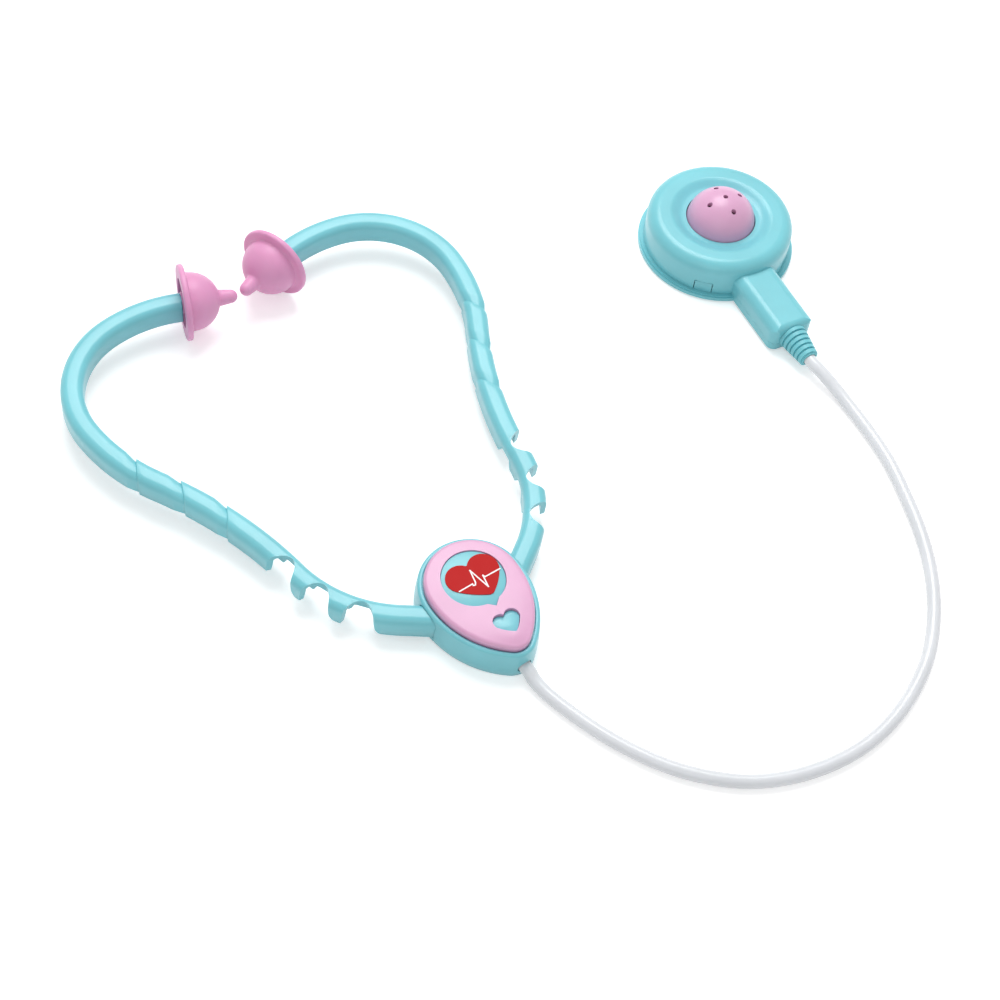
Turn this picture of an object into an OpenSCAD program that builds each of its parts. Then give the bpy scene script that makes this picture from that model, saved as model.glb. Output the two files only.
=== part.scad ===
// Toy stethoscope lying on a table, in millimetres, +Z up.
// The origin is the centre of the chest piece's underside, the face that is held against a chest.
// The headset lies to the left of it: a drop-shaped housing with two springy arms that end in ear tips.
// It leans back a little, because it rests on the housing's tip and on the rims of the ear tips.

/* [Chest piece] */
// Diameter of the base's lip
lip_d = 51; // [46:0.5:58]
// Height of the base's lip
lip_h = 2.2; // [1.6:0.1:3]
// Diameter of the round top shell
disc_d = 47.6; // [43:0.2:50]
// Height of the top shell's crest above the table
disc_h = 14; // [13:0.25:17]
// Radius of the top shell's outer edge
disc_edge_r = 4; // [3:0.25:4.5]
// Radius at which the top shell begins to fall towards the dome
crest_r = 16.8; // [15:0.2:17]
// Radius of the flat bottom of the well round the dome
well_r = 12.6; // [12.6:0.1:14]
// Depth of the well round the dome
well_depth = 1.4; // [0.8:0.1:2]
// Wall of the chest piece's shells
chest_wall = 1.6; // [1.2:0.1:2]
// Width of the handle
handle_w = 14.8; // [12:0.2:16]
// Distance from the chest piece's centre to the handle's end
handle_reach = 47.5; // [42:0.5:54]
// Height of the handle's top
handle_h = 10.2; // [9:0.2:11]
// Radius of the handle's long upper edges
handle_shoulder = 3.4; // [1.5:0.1:4]
// Radius of the upper edge at the handle's end
handle_end_round = 2; // [1:0.25:3]
// Radius of the handle's corners as seen from above
handle_corner = 2.6; // [1.6:0.1:3.2]
// Height at which the handle's two halves meet
handle_split = 3.4; // [2.6:0.1:4]
// Angle of the handle to the headset's centre line
handle_turn = 8.7; // [0:0.1:20]
// Width of a snap tab
tab_w = 5.6; // [4:0.2:7]
// Height of a snap tab's window above the lip
tab_h = 3.8; // [3:0.1:4.5]
// Gap that shows round a snap tab
tab_gap = 0.25; // [0.2:0.05:0.4]
// Angle between the handle and the first snap tabs
tab_angle = 41; // [34:1:50]

/* [Dome button] */
// Radius of the dome
dome_r = 11.2; // [10:0.1:12]
// Height of the dome's top above the table
dome_top = 22; // [20:0.2:24]
// Wall of the dome
dome_wall = 1.4; // [1:0.1:1.8]
// Diameter of a sound hole
sound_hole_d = 1.6; // [1:0.1:2.2]
// Radius of the ring of four sound holes round the top one
sound_ring_r = 5.6; // [4:0.2:7]
// Gap between the dome and the hole that it moves in
dome_gap = 0.3; // [0.3:0.05:0.5]
// How far the dome pushes in
press_travel = 2; // [1:0.25:2.5]

/* [Tube] */
// Outer diameter of the tube
tube_d = 4; // [3.6:0.1:4.6]
// Gap between the tube and the bores that it is pushed into
tube_gap = 0.1; // [0.05:0.05:0.2]
// Height of the tube's axis in the handle
handle_bore_z = 5; // [4.8:0.1:5.4]
// Height of the tube's axis in the housing
housing_bore_z = 3.6; // [3.4:0.1:4.5]
// Depth of the tube's bore in the housing
socket_depth = 7; // [5:0.5:8]
// Length of the ribbed strain relief outside the handle
relief_length = 10.5; // [8:0.5:14]
// Radius of the strain relief where it leaves the handle
relief_r = 4.6; // [4:0.1:4.8]
// Radius of the strain relief at its thin end
relief_end_r = 3.1; // [2.9:0.1:3.6]
// Number of ribs on the strain relief
relief_ribs = 6; // [4:1:7]

/* [Housing] */
// Radius of the face plate's round end
plate_top_r = 14; // [13:0.25:15]
// Radius of the face plate's narrow end
plate_tip_r = 5; // [4:0.25:6]
// Distance between the centres of those two ends
plate_span = 19.4; // [18:0.2:22]
// Radius of the face plate's long sides
plate_side_r = 28; // [26:0.5:40]
// Width of the housing's rim round the face plate
rim_w = 2; // [1.75:0.05:2.5]
// Height of the housing's rim
rim_h = 11.6; // [11.2:0.1:13]
// Radius of the rim's outer edge
rim_round = 1.2; // [0.5:0.1:1.5]
// Wall of the housing
housing_wall = 1.8; // [1.4:0.1:2]
// Thickness of the back cover
cover_t = 1.6; // [1.4:0.1:2]
// Clearance between pieces that are fitted to each other and do not move
fit_gap = 0.15; // [0.1:0.05:0.2]
// Thickness of the face plate in its middle
plate_t = 2.4; // [2:0.1:2.8]
// Depth of the pocket that the face plate sits in
pocket_depth = 0.8; // [0.6:0.1:1.2]
// How much lower the face plate's edge is than its middle
plate_crown = 0.9; // [0.6:0.1:1.2]
// Radius of the round window in the face plate
window_r = 9.3; // [8:0.1:9.8]
// Width of the red heart
heart_w = 16.2; // [13:0.2:17]
// Width of the small heart-shaped window
small_heart_w = 7.6; // [5:0.2:8.4]

/* [Headset arms] */
// Width of an arm
arm_w = 6.8; // [6:0.1:8]
// Height of an arm
arm_h = 7.4; // [6.6:0.1:8]
// Height of the arm's open underside above the housing's back
arm_z = 1.9; // [1.8:0.1:2.2]
// Radius of the arm's two top edges
arm_round = 2.4; // [1.5:0.1:2.8]
// Wall of the arm
arm_wall = 1.4; // [1:0.1:1.8]
// Direction in which the right arm leaves the housing
arm_start_angle = 34.6; // [28:0.2:40]
// How far to the right of the centre line the right arm's stub starts
stub_x = 11.8; // [11:0.1:13]
// How far behind the housing's reference point the stubs start
stub_y = 10.9; // [9:0.1:13]
// Length of the straight stub outside the housing's middle
stub_length = 12; // [11:0.5:16]
// Radius of the bend that holds the three notches
notch_bend_r = 41.3; // [36:0.1:48]
// Angle from the start of that bend to the middle of the first notch
first_notch = 15.4; // [13:0.2:18]
// Angle between the middles of two notches
notch_pitch = 17.5; // [15:0.25:20]
// Width of a notch
notch_w = 5.6; // [4.5:0.1:6.4]
// Width of the strip that is left beside a notch, the living hinge
web_w = 2.6; // [2:0.1:3]
// Height of the strip's wall
web_h = 3; // [2:0.1:4]
// Radius of the long flare outward
flare_r = 125; // [110:1:160]
// Radius of the bend after the flare
shoulder_r = 58.5; // [50:0.5:70]
// Angle of the bend after the flare
shoulder_turn = 27.3; // [22:0.1:32]
// Radius of the big bend
crown_r = 28.6; // [24:0.2:34]
// Radius of the last bend, which leads into the ear tip
tip_bend_r = 45; // [42:0.5:50]
// Angle of the last bend
tip_turn = 31; // [28:0.5:33]
// Width of a diagonal band
band_w = 4.1; // [3:0.1:5]
// Depth of a diagonal band
band_depth = 0.6; // [0.3:0.05:0.8]
// Distance between two bands
band_pitch = 15.3; // [12:0.1:17]
// Distance from the start of the last notch to the first band
band_start = 26; // [22:0.5:30]
// Slant of the bands
band_slant = 40; // [30:1:50]

/* [Ear tips] */
// Direction in which the right ear tip points
ear_heading = 200.6; // [192:0.2:208]
// Gap between the two ear tips' nubs
ear_gap = 1.4; // [0.6:0.1:8]
// Diameter of the ear tip's rim
ear_rim_d = 23.6; // [21:0.2:26]
// Thickness of the rim
ear_rim_t = 1.6; // [1.2:0.1:2.2]
// Diameter of the ear tip's bell
ear_bell_d = 18; // [16:0.2:19]
// Length of the bell
ear_bell_l = 10.2; // [9.6:0.2:10.6]
// Wall of the bell
ear_wall = 1.3; // [1:0.1:1.6]
// Diameter of the nub
ear_nub_d = 4.6; // [4:0.1:5.4]
// Length of the nub
ear_nub_l = 5.4; // [4:0.2:5.6]
// Diameter of the peg that holds the ear tip
peg_d = 4.4; // [3.6:0.1:5]
// Length of the peg
peg_l = 8; // [6:0.5:8.5]
// Clearance between the peg and the ear tip
peg_gap = 0.05; // [0.02:0.01:0.1]
// Height of the peg above the middle of the arm
peg_rise = 1.4; // [0:0.1:1.5]

/* [Layout] */
// How far the headset's centre line lies to the left of the chest piece
headset_x = 149; // [140:1:170]
// How far the housing's reference point lies behind the chest piece
headset_y = 86.4; // [70:0.2:100]

/* [Hidden] */
$fn = 96;

turquoise = [0.47, 0.82, 0.87];
pink = [0.91, 0.70, 0.84];
red = [0.78, 0.12, 0.12];
clear_pvc = [0.86, 0.87, 0.88];
amber = [0.85, 0.80, 0.62];
eps = 0.01;

// ---- drop-shaped outline, its middle of the round end on the headset's centre line
plate_mid_y = 14;
tip_mid_y = plate_mid_y - plate_span;
side_to_top = plate_side_r - plate_top_r;
side_to_tip = plate_side_r - plate_tip_r;
side_rise = (side_to_top ^ 2 - side_to_tip ^ 2 + plate_span ^ 2) / (2 * plate_span);
side_mid_y = plate_mid_y - side_rise;
side_mid_x = sqrt(side_to_top ^ 2 - side_rise ^ 2);
top_join = atan2(side_rise, side_mid_x);
tip_join = atan2(side_mid_y - tip_mid_y, side_mid_x);
housing_tip_y = tip_mid_y - plate_tip_r - rim_w;

// ---- the right arm's centre line: a stub and five bends, each [start, heading, radius, turn]
stub_start = [stub_x, stub_y];
half_notch = notch_w / 2 / notch_bend_r * 180 / PI;
notch_bend_turn = first_notch + 2 * notch_pitch - half_notch;
web_3_turn = notch_w / flare_r * 180 / PI;

function along(p, h, l) = p + l * [cos(h), sin(h)];
function bend_mid(p, h, r, turn) = p + sign(turn) * r * [-sin(h), cos(h)];
function bend_end(p, h, r, turn) =
  bend_mid(p, h, r, turn) + sign(turn) * r * [sin(h + turn), -cos(h + turn)];
function bend_next(b, r, turn) =
  [bend_end(b[0], b[1], b[2], b[3]), b[1] + b[3], r, turn];

notch_bend = [along(stub_start, arm_start_angle, stub_length), arm_start_angle,
              notch_bend_r, notch_bend_turn];
nub_end_r = ear_nub_d / 2 - 0.2;
seat_play = 0.03;

// The four bends after the notches, for a given angle of the flare
function bends_after(turn) =
  let (
    flare = bend_next(notch_bend, flare_r, -turn),
    shoulder = bend_next(flare, shoulder_r, shoulder_turn),
    crown = bend_next(shoulder, crown_r, ear_heading - tip_turn - shoulder[1] - shoulder_turn))
  [flare, shoulder, crown, bend_next(crown, tip_bend_r, tip_turn)];

// How far from the centre line the right nub ends, for a given angle of the flare
function nub_end_x(turn) =
  bend_next(bends_after(turn)[3], 1, 0)[0][0] - nub_end_r
  + (seat_play + ear_rim_t + ear_bell_l + ear_nub_l - nub_end_r) * cos(ear_heading);

// Halves the range of the flare's angle until the two nubs are ear_gap apart
function flare_angle(low, high, steps) =
  let (mid = (low + high) / 2)
  steps == 0 ? mid
    : nub_end_x(mid) < ear_gap / 2 ? flare_angle(mid, high, steps - 1)
                                   : flare_angle(low, mid, steps - 1);

arm_bends = bends_after(flare_angle(0, 60, 24));
flare_bend = arm_bends[0];
ear_at = bend_next(arm_bends[3], 1, 0)[0];

arm_length = bend_length(arm_bends[0]) + bend_length(arm_bends[1])
             + bend_length(arm_bends[2]) + bend_length(arm_bends[3]);
channel_h = arm_h - arm_wall;
end_block = 3.2;
ring_step = 2.4;

// ---- how the headset rests: on the housing's tip and on the ear tips' rims
arm_top = arm_z + arm_h;
peg_z = arm_z + arm_h / 2 + peg_rise;
ear_run = ear_at[1] - housing_tip_y;
rest_lean = asin(ear_rim_d / 2 / norm([ear_run, peg_z])) - atan2(peg_z, ear_run);

// ---- heights in the housing
pocket_z = rim_h - pocket_depth;
roof_z = pocket_z - housing_wall;
cavity_end_y = tip_mid_y + 1;
plate_edge = 0.5;
plate_steps = 3;
plate_step = plate_crown / plate_steps;
pad_z = pocket_z + plate_t - 0.8;
badge_t = 0.3;
pocket_gap = 0.25;
window_at = [0.3, 14.6];
heart_at = [0.9, 13.8];
small_heart_at = [0.3, -2];
post_r = 2.8;
pin_r = 1.3;
posts = [[0, 24.5], [-6.5, 2], [6.5, 2]];
anchor_r = 1.6;

// ---- chest piece
disc_r = disc_d / 2;
dome_mid_z = dome_top - dome_r;
dome_hole_r = dome_r + dome_gap;
well_z = disc_h - well_depth;
well_steps = 8;
collar_t = 1.2;
collar_z = 9.8;
button_flange_t = 1.2;
button_flange_r = dome_hole_r + collar_t + 0.2;
seat_gap = 0.3;
button_flange_z = collar_z - seat_gap - button_flange_t;
floor_t = 1.8;
bellows_r = 9;
bellows_wall = 0.9;
bellows_folds = 3;
handle_floor_z = 0.8;
relief_root_r = relief_r - 1;

// ---- the tube's centre line, from inside the housing to inside the handle
tube_sides = 10;
tube_r = tube_d / 2;
tube_mid = [
  [-149, -103, 2.6], [-148.6, -107, 2.1], [-147.6, -112, 2], [-146, -118, 2],
  [-143, -127, 2], [-139, -136, 2], [-133, -146, 2], [-126, -154, 2], [-118, -160.5, 2],
  [-108, -165.5, 2], [-97, -168.5, 2], [-85, -169.5, 2], [-73, -168, 2], [-61, -164, 2],
  [-49, -157.5, 2], [-38, -148, 2], [-29, -137, 2], [-22, -125, 2], [-16.5, -112, 2],
  [-12, -99, 2], [-9.6, -87, 2], [-8.4, -77, 2.2], [-8.1, -70, 3], [-8.5, -64, 4.3]];

// ---------------------------------------------------------------- shared shapes

// Puts the headset's own flat frame where it lies on the table
module on_headset() {
  translate([-headset_x, -headset_y + housing_tip_y, 0])
    rotate([rest_lean, 0, 0])
      translate([0, -housing_tip_y, 0])
        children();
}

// Turns the chest piece's own frame, whose handle points along -Y
module on_chest() {
  rotate([0, 0, -handle_turn])
    children();
}

// The left half of the headset is the right half mirrored
module on_side(side) {
  on_headset()
    mirror([side == "left" ? 1 : 0, 0, 0])
      children();
}

// The drop-shaped outline, grown by e
module drop_outline(e) {
  translate([0, plate_mid_y])
    circle(plate_top_r + e);
  translate([0, tip_mid_y])
    circle(plate_tip_r + e);
  intersection() {
    translate([-side_mid_x, side_mid_y])
      circle(plate_side_r + e, $fn = 192);
    translate([side_mid_x, side_mid_y])
      circle(plate_side_r + e, $fn = 192);
    drop_middle(e);
  }
}

// The part of the outline between the ends' joints with the sides
module drop_middle(e) {
  top = [(plate_top_r + e) * cos(top_join), plate_mid_y + (plate_top_r + e) * sin(top_join)];
  tip = [(plate_tip_r + e) * cos(tip_join), tip_mid_y - (plate_tip_r + e) * sin(tip_join)];
  reach = plate_side_r;
  polygon([[0, top[1]], top, [reach, top[1]], [reach, tip[1]], tip, [0, tip[1]],
           [-tip[0], tip[1]], [-reach, tip[1]], [-reach, top[1]], [-top[0], top[1]]]);
}

// A heart of width w, its tip towards -Y and its middle at the origin
module heart_outline(w) {
  lobe_r = w * 0.29;
  lobe_x = w / 2 - lobe_r;
  lobe_y = w * 0.12;
  tip_y = -w * 0.40;
  reach = norm([lobe_x, lobe_y - tip_y]);
  touch = acos(lobe_r / reach) - atan2(lobe_y - tip_y, lobe_x);
  flank = lobe_r * 0.98;
  for (s = [-1, 1])
    translate([s * lobe_x, lobe_y])
      circle(lobe_r);
  polygon([[0, tip_y],
           [lobe_x + flank * cos(touch), lobe_y - flank * sin(touch)],
           [lobe_x, lobe_y], [0, lobe_y + lobe_r * 0.55], [-lobe_x, lobe_y],
           [-lobe_x - flank * cos(touch), lobe_y - flank * sin(touch)]]);
}

// The round window with the small point at its lower right, grown by e
module window_outline(e) {
  translate(window_at) {
    circle(window_r + e);
    polygon([[-1.3, -window_r + 0.1 - e], [0.5, -window_r - 1.5 - e], [2.9 + e, -window_r + 1.1]]);
  }
}

// Cross-section of an arm: an arch, open below, its middle at x = 0
module arm_section() {
  difference() {
    arch_outline(arm_w / 2, arm_z, arm_top, arm_round);
    arch_outline(arm_w / 2 - arm_wall, arm_z - 1, arm_top - arm_wall,
                 max(arm_round - arm_wall, 0.4));
  }
}

// The middle of the arm's wall, which ties a straight piece to a bend
module arm_core() {
  skin = 0.3;
  difference() {
    arch_outline(arm_w / 2 - skin, arm_z + skin, arm_top - skin, arm_round - skin);
    arch_outline(arm_w / 2 - arm_wall + skin, arm_z - 1, arm_top - arm_wall + skin, 0.5);
  }
}

module arch_outline(half, low, top, r) {
  translate([-half, low])
    square([2 * half, top - r - low]);
  translate([-half + r, low])
    square([2 * (half - r), top - low]);
  for (s = [-1, 1])
    translate([s * (half - r), top - r])
      circle(r, $fn = 48);
}

// Sweeps the 2D children along part of a bend: from skips and turn covers that many degrees
module along_bend(b, from, turn) {
  mid = bend_mid(b[0], b[1], b[2], b[3]);
  left = b[3] > 0;
  first = left ? b[1] - 90 + from : b[1] + 90 - from - turn;
  translate([mid[0], mid[1], 0])
    rotate([0, 0, first])
      rotate_extrude(angle = turn, $fn = 192)
        translate([b[2], 0])
          children();
}

// Sweeps the 2D children along a straight line from p in direction h
module along_line(p, h, l) {
  translate([p[0], p[1], 0])
    rotate([0, 0, h + 90])
      rotate([90, 0, 0])
        linear_extrude(l)
          children();
}

// A closed solid through rings of points, each ring as long as the others
module sweep_rings(rings) {
  n = len(rings[0]);
  last = len(rings) - 1;
  points = [for (ring = rings, p = ring) p];
  sides = [for (i = [0 : last - 1], k = [0 : n - 1])
    let (a = i * n + k, b = i * n + (k + 1) % n)
    each [[a, b, b + n], [a, b + n, a + n]]];
  ends = [[for (k = [n - 1 : -1 : 0]) k], [for (k = [0 : n - 1]) last * n + k]];
  polyhedron(points, concat(sides, ends), convexity = 8);
}

function unit(v) = v / norm(v);

// ---------------------------------------------------------------- housing

module housing_front() {
  color(turquoise)
    on_headset()
      difference() {
        union() {
          difference() {
            rounded_drop();
            translate([0, 0, pocket_z])
              linear_extrude(rim_h)
                drop_outline(pocket_gap);
            housing_cavity();
          }
          window_pads();
          housing_posts();
        }
        for (s = [0, 1])
          mirror([s, 0, 0])
            stub_opening();
        tube_socket();
        for (p = posts)
          translate([p[0], p[1], -1])
            cylinder(r = pin_r + 0.05, h = roof_z, $fn = 48);
      }
}

// The drop-shaped block, its upper edge stepped in
module rounded_drop() {
  linear_extrude(rim_h - rim_round)
    drop_outline(rim_w);
  linear_extrude(rim_h - rim_round / 3)
    drop_outline(rim_w - rim_round / 3);
  linear_extrude(rim_h)
    drop_outline(rim_w - rim_round);
}

module housing_cavity() {
  translate([0, 0, -1])
    linear_extrude(roof_z + 1)
      intersection() {
        drop_outline(rim_w - housing_wall);
        translate([-30, cavity_end_y])
          square([60, 60]);
      }
}

// The raised parts that show through the face plate's windows
module window_pads() {
  translate([0, 0, pocket_z - eps])
    linear_extrude(pad_z - pocket_z) {
      window_outline(-fit_gap);
      translate(small_heart_at)
        heart_outline(small_heart_w - 2 * fit_gap);
    }
}

module housing_posts() {
  for (p = posts)
    translate([p[0], p[1], cover_t])
      cylinder(r = post_r, h = roof_z - cover_t + eps, $fn = 48);
  for (s = [0, 1])
    mirror([s, 0, 0])
      translate([stub_start[0] - 2, stub_start[1] - 1, cover_t])
        cylinder(r = anchor_r, h = roof_z - cover_t + eps, $fn = 48);
}

// The slot in the housing's side that an arm's stub drops into
module stub_opening() {
  along_line(along(stub_start, arm_start_angle, -1.5), arm_start_angle, 12)
    arch_outline(arm_w / 2 + fit_gap, -1, arm_top + fit_gap, arm_round);
}

module tube_socket() {
  translate([0, housing_tip_y - 1, housing_bore_z])
    rotate([-90, 0, 0])
      cylinder(r = tube_r + tube_gap, h = socket_depth + 1, $fn = 48);
}

module housing_back() {
  color(turquoise)
    on_headset() {
      linear_extrude(cover_t - 0.1)
        intersection() {
          drop_outline(rim_w - housing_wall - fit_gap);
          translate([-30, cavity_end_y + fit_gap])
            square([60, 60]);
        }
      for (p = posts)
        translate([p[0], p[1], 0])
          cylinder(r = pin_r, h = roof_z - 2, $fn = 48);
      for (s = [0, 1])
        mirror([s, 0, 0])
          stub_tongue();
    }
}

// The tongue of the back cover that closes the slot under a stub
module stub_tongue() {
  intersection() {
    along_line(stub_start, arm_start_angle, 10)
      translate([-arm_w / 2, 0])
        square([arm_w, cover_t - 0.1]);
    linear_extrude(cover_t)
      drop_outline(rim_w);
  }
}

// The plate's crown is built in steps
module face_plate() {
  color(pink)
    on_headset()
      difference() {
        for (i = [0 : plate_steps])
          translate([0, 0, pocket_z])
            linear_extrude(plate_t - plate_step * (plate_steps - i))
              drop_outline(-plate_edge * i * (i + 1) / 2);
        translate([0, 0, pocket_z - 1])
          linear_extrude(plate_t + 3) {
            window_outline(0);
            translate(small_heart_at)
              heart_outline(small_heart_w);
          }
      }
}

module heart_badge() {
  color(red)
    on_headset()
      translate([0, 0, pad_z])
        linear_extrude(badge_t)
          intersection() {
            translate(heart_at)
              heart_outline(heart_w);
            window_outline(-fit_gap - 0.05);
          }
}

// ---------------------------------------------------------------- arms, drawn for the right side

module arm_stub() {
  difference() {
    union() {
      along_line(stub_start, arm_start_angle, stub_length)
        arm_section();
      along_line(along(stub_start, arm_start_angle, stub_length - 1), arm_start_angle, 2)
        arm_core();
      along_bend(notch_bend, 0, first_notch - half_notch)
        arm_section();
      along_line(stub_start, arm_start_angle, 3)
        arch_outline(arm_w / 2, cover_t + 0.1, arm_top - 1, 1);
    }
    translate([stub_start[0] - 2, stub_start[1] - 1, 0])
      cylinder(r = anchor_r + fit_gap, h = 20, $fn = 48);
  }
}

// Rib i stands between notch i and notch i + 1
module arm_rib(i) {
  along_bend(notch_bend, first_notch + (i - 1) * notch_pitch + half_notch,
             notch_pitch - 2 * half_notch)
    arm_section();
}

// The strip beside notch i, which bends
module arm_web(i) {
  b = i < 3 ? notch_bend : flare_bend;
  from = i < 3 ? first_notch + (i - 1) * notch_pitch - half_notch : 0;
  turn = i < 3 ? 2 * half_notch : web_3_turn;
  at = notch_at(i);
  difference() {
    along_bend(b, from, turn)
      intersection() {
        arm_section();
        translate([-10, arm_top - web_h])
          square([20, web_h]);
      }
    translate([at[0], at[1], 0])
      rotate([0, 0, notch_heading(i)])
        notch_shape();
  }
}

function notch_heading(i) = i < 3 ? arm_start_angle + first_notch + (i - 1) * notch_pitch
                                  : flare_bend[1] - web_3_turn / 2;
function notch_at(i) = i < 3
  ? bend_mid(notch_bend[0], notch_bend[1], notch_bend_r, 1)
    + notch_bend_r * [sin(notch_heading(i)), -cos(notch_heading(i))]
  : bend_end(flare_bend[0], flare_bend[1], flare_r, -web_3_turn / 2);

// A notch: a slot with a round inner end, open to the arm's outer side
module notch_shape() {
  r = notch_w / 2 - 0.4;
  mid = arm_w / 2 - web_w - r;
  translate([0, 0, arm_z - 1])
    linear_extrude(arm_h + 2) {
      translate([0, mid])
        circle(r, $fn = 48);
      translate([-notch_w / 2 - 1, mid - 20])
        square([notch_w + 2, 20]);
    }
}

// The long part of an arm: rings of the arch-shaped section along its four bends.
// Where the bands are, the rings are slanted, so that a band's edge is one ring.
module arm_long() {
  rings = [for (a = arm_stations()) arm_ring(a[0], a[1], a[2], a[3])];
  sweep_rings(rings);
  translate([ear_at[0], ear_at[1], peg_z])
    rotate([0, 0, ear_heading])
      rotate([0, 90, 0])
        translate([0, 0, -1])
          cylinder(d = peg_d, h = peg_l + 1, $fn = 48);
}

// Place and heading at distance s along the arm, counted from the third notch's start
function bend_length(b) = b[2] * abs(b[3]) * PI / 180;
function arm_spot(s, i = 0) =
  let (b = arm_bends[i], l = bend_length(b), t = sign(b[3]) * s / b[2] * 180 / PI)
  s > l && i < len(arm_bends) - 1
    ? arm_spot(s - l, i + 1)
    : [bend_mid(b[0], b[1], b[2], b[3]) + sign(b[3]) * b[2] * [sin(b[1] + t), -cos(b[1] + t)],
       b[1] + t];

// A smooth step from 0 to 1
function ease(t) = t * t * (3 - 2 * t);

// [distance, slant, how deep the surface is set in, height of the channel] of each ring
function arm_stations() =
  let (
    slope = tan(band_slant),
    first = band_start - 4,
    last = band_start + 2 * band_pitch + band_w,
    plain = last + 14,
    end = arm_length - end_block,
    steps = ceil((end - plain) / ring_step))
  concat(
    [for (k = [0 : 5])
      [notch_w + (first - notch_w) * k / 5, slope * ease(k / 5), 0, channel_h]],
    [for (i = [0 : 2], a = [[-0.02, 0], [0.02, band_depth], [band_w, 0]])
      [band_start + i * band_pitch + a[0], slope, a[1], channel_h]],
    [for (k = [1 : 5])
      [last + 14 * k / 5, slope * (1 - ease(k / 5)), 0, channel_h]],
    [for (k = [1 : steps])
      [plain + (end - plain) * k / steps, 0, 0, channel_h]],
    [[end + 0.05, 0, 0, 0], [arm_length, 0, 0, 0]]);

// The points of one ring
function arm_ring(s, slope, inset, channel) =
  let (
    half = arm_w / 2 - inset,
    top = arm_top - inset,
    r = arm_round,
    inner = arm_w / 2 - arm_wall,
    outline = concat(
      [[half, arm_z]],
      [for (a = [0 : 22.5 : 90]) [half - r + r * cos(a), top - r + r * sin(a)]],
      [for (a = [90 : 22.5 : 180]) [-half + r + r * cos(a), top - r + r * sin(a)]],
      [[-half, arm_z], [-inner, arm_z], [-inner + 0.7, arm_z + channel],
       [inner - 0.7, arm_z + channel], [inner, arm_z]]))
  [for (p = outline)
    let (at = arm_spot(s - p[0] * slope))
    [at[0][0] + p[0] * sin(at[1]), at[0][1] - p[0] * cos(at[1]), p[1]]];

// An ear tip: a bell with a rim and a nub, hollow behind, with a socket for the peg
module ear_tip() {
  bell_r = ear_bell_d / 2;
  bell_top = ear_rim_t + ear_bell_l;
  translate([ear_at[0], ear_at[1], peg_z])
    rotate([0, 0, ear_heading])
      rotate([0, 90, 0])
        translate([0, 0, seat_play])
          difference() {
            union() {
              cylinder(d = ear_rim_d, h = ear_rim_t);
              bell_shape(bell_r, bell_top);
              translate([0, 0, bell_top - 0.8])
                ear_nub(ear_nub_l + 0.8);
            }
            difference() {
              translate([0, 0, -eps])
                bell_shape(bell_r - ear_wall, bell_top - ear_wall);
              cylinder(d = peg_d + 2 * peg_gap + 2.4, h = bell_top, $fn = 48);
            }
            translate([0, 0, -eps])
              cylinder(d = peg_d + 2 * peg_gap, h = peg_l + 0.3, $fn = 48);
          }
}

// A bell of radius r and length l: a short cylinder with a half ball on it
module bell_shape(r, l) {
  rotate_extrude() {
    square([r, l - r]);
    translate([0, l - r])
      quarter_disc(r);
  }
}

// The nub: a cone with a round end
module ear_nub(l) {
  rotate_extrude($fn = 48) {
    polygon([[0, 0], [ear_nub_d / 2 + 0.3, 0], [nub_end_r, l - nub_end_r], [0, l - nub_end_r]]);
    translate([0, l - nub_end_r])
      quarter_disc(nub_end_r);
  }
}

module quarter_disc(r) {
  intersection() {
    circle(r);
    square(r);
  }
}

// ---------------------------------------------------------------- tube

function tube_route() = concat(housing_end(), tube_mid, handle_end());
function chest_point(y, z) = [y * sin(handle_turn), y * cos(handle_turn), z];
function headset_point(p) = [p[0] - headset_x,
  -headset_y + housing_tip_y + (p[1] - housing_tip_y) * cos(rest_lean) - p[2] * sin(rest_lean),
  (p[1] - housing_tip_y) * sin(rest_lean) + p[2] * cos(rest_lean)];
function housing_end() = [for (y = [socket_depth - 0.5, 0, -2])
  headset_point([0, housing_tip_y + y, housing_bore_z])];
function handle_end() = [for (y = [relief_length + 1, relief_length - 3, -1])
  chest_point(-handle_reach - y, handle_bore_z)];

module tube() {
  route = tube_route();
  last = len(route) - 1;
  color(clear_pvc)
    sweep_rings([for (i = [0 : last])
      tube_ring(route[i], unit(route[min(i + 1, last)] - route[max(i - 1, 0)]))]);
}

function tube_ring(p, along) =
  let (across = unit(cross(along, [0, 0, 1])), up = cross(across, along))
  [for (k = [0 : tube_sides - 1]) p + tube_r * (cos(360 * k / tube_sides) * across
                                                + sin(360 * k / tube_sides) * up)];

// ---------------------------------------------------------------- chest piece

module chest_top() {
  color(turquoise)
    on_chest()
      difference() {
        union() {
          rotate_extrude($fn = 192)
            intersection() {
              difference() {
                ring_outline(0);
                ring_outline(chest_wall);
              }
              translate([dome_r * 0.5, lip_h])
                square([disc_r, disc_h]);
            }
          translate([0, 0, collar_z])
            cylinder(r = dome_hole_r + collar_t, h = well_z - collar_z - 0.3);
          handle_shell();
        }
        dome_hole();
        for (a = tab_angles)
          rotate([0, 0, a])
            tab_window(tab_gap);
        relief_seat();
      }
}

tab_angles = [-90 - tab_angle, -90 + tab_angle, 90 - tab_angle, 90 + tab_angle];

// Half of the top shell's outline, taken in by t on every side
module ring_outline(t) {
  edge_r = disc_r - disc_edge_r;
  edge_z = disc_h - disc_edge_r;
  fall = [for (i = [0 : well_steps])
    [crest_r - (crest_r - well_r) * i / well_steps,
     disc_h - well_depth * ease(i / well_steps) - t]];
  polygon(concat([[0, 0], [disc_r - t, 0], [disc_r - t, edge_z], [edge_r, edge_z],
                  [edge_r, disc_h - t]], fall, [[0, well_z - t]]));
  translate([edge_r, edge_z])
    quarter_disc(disc_edge_r - t);
}

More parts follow.
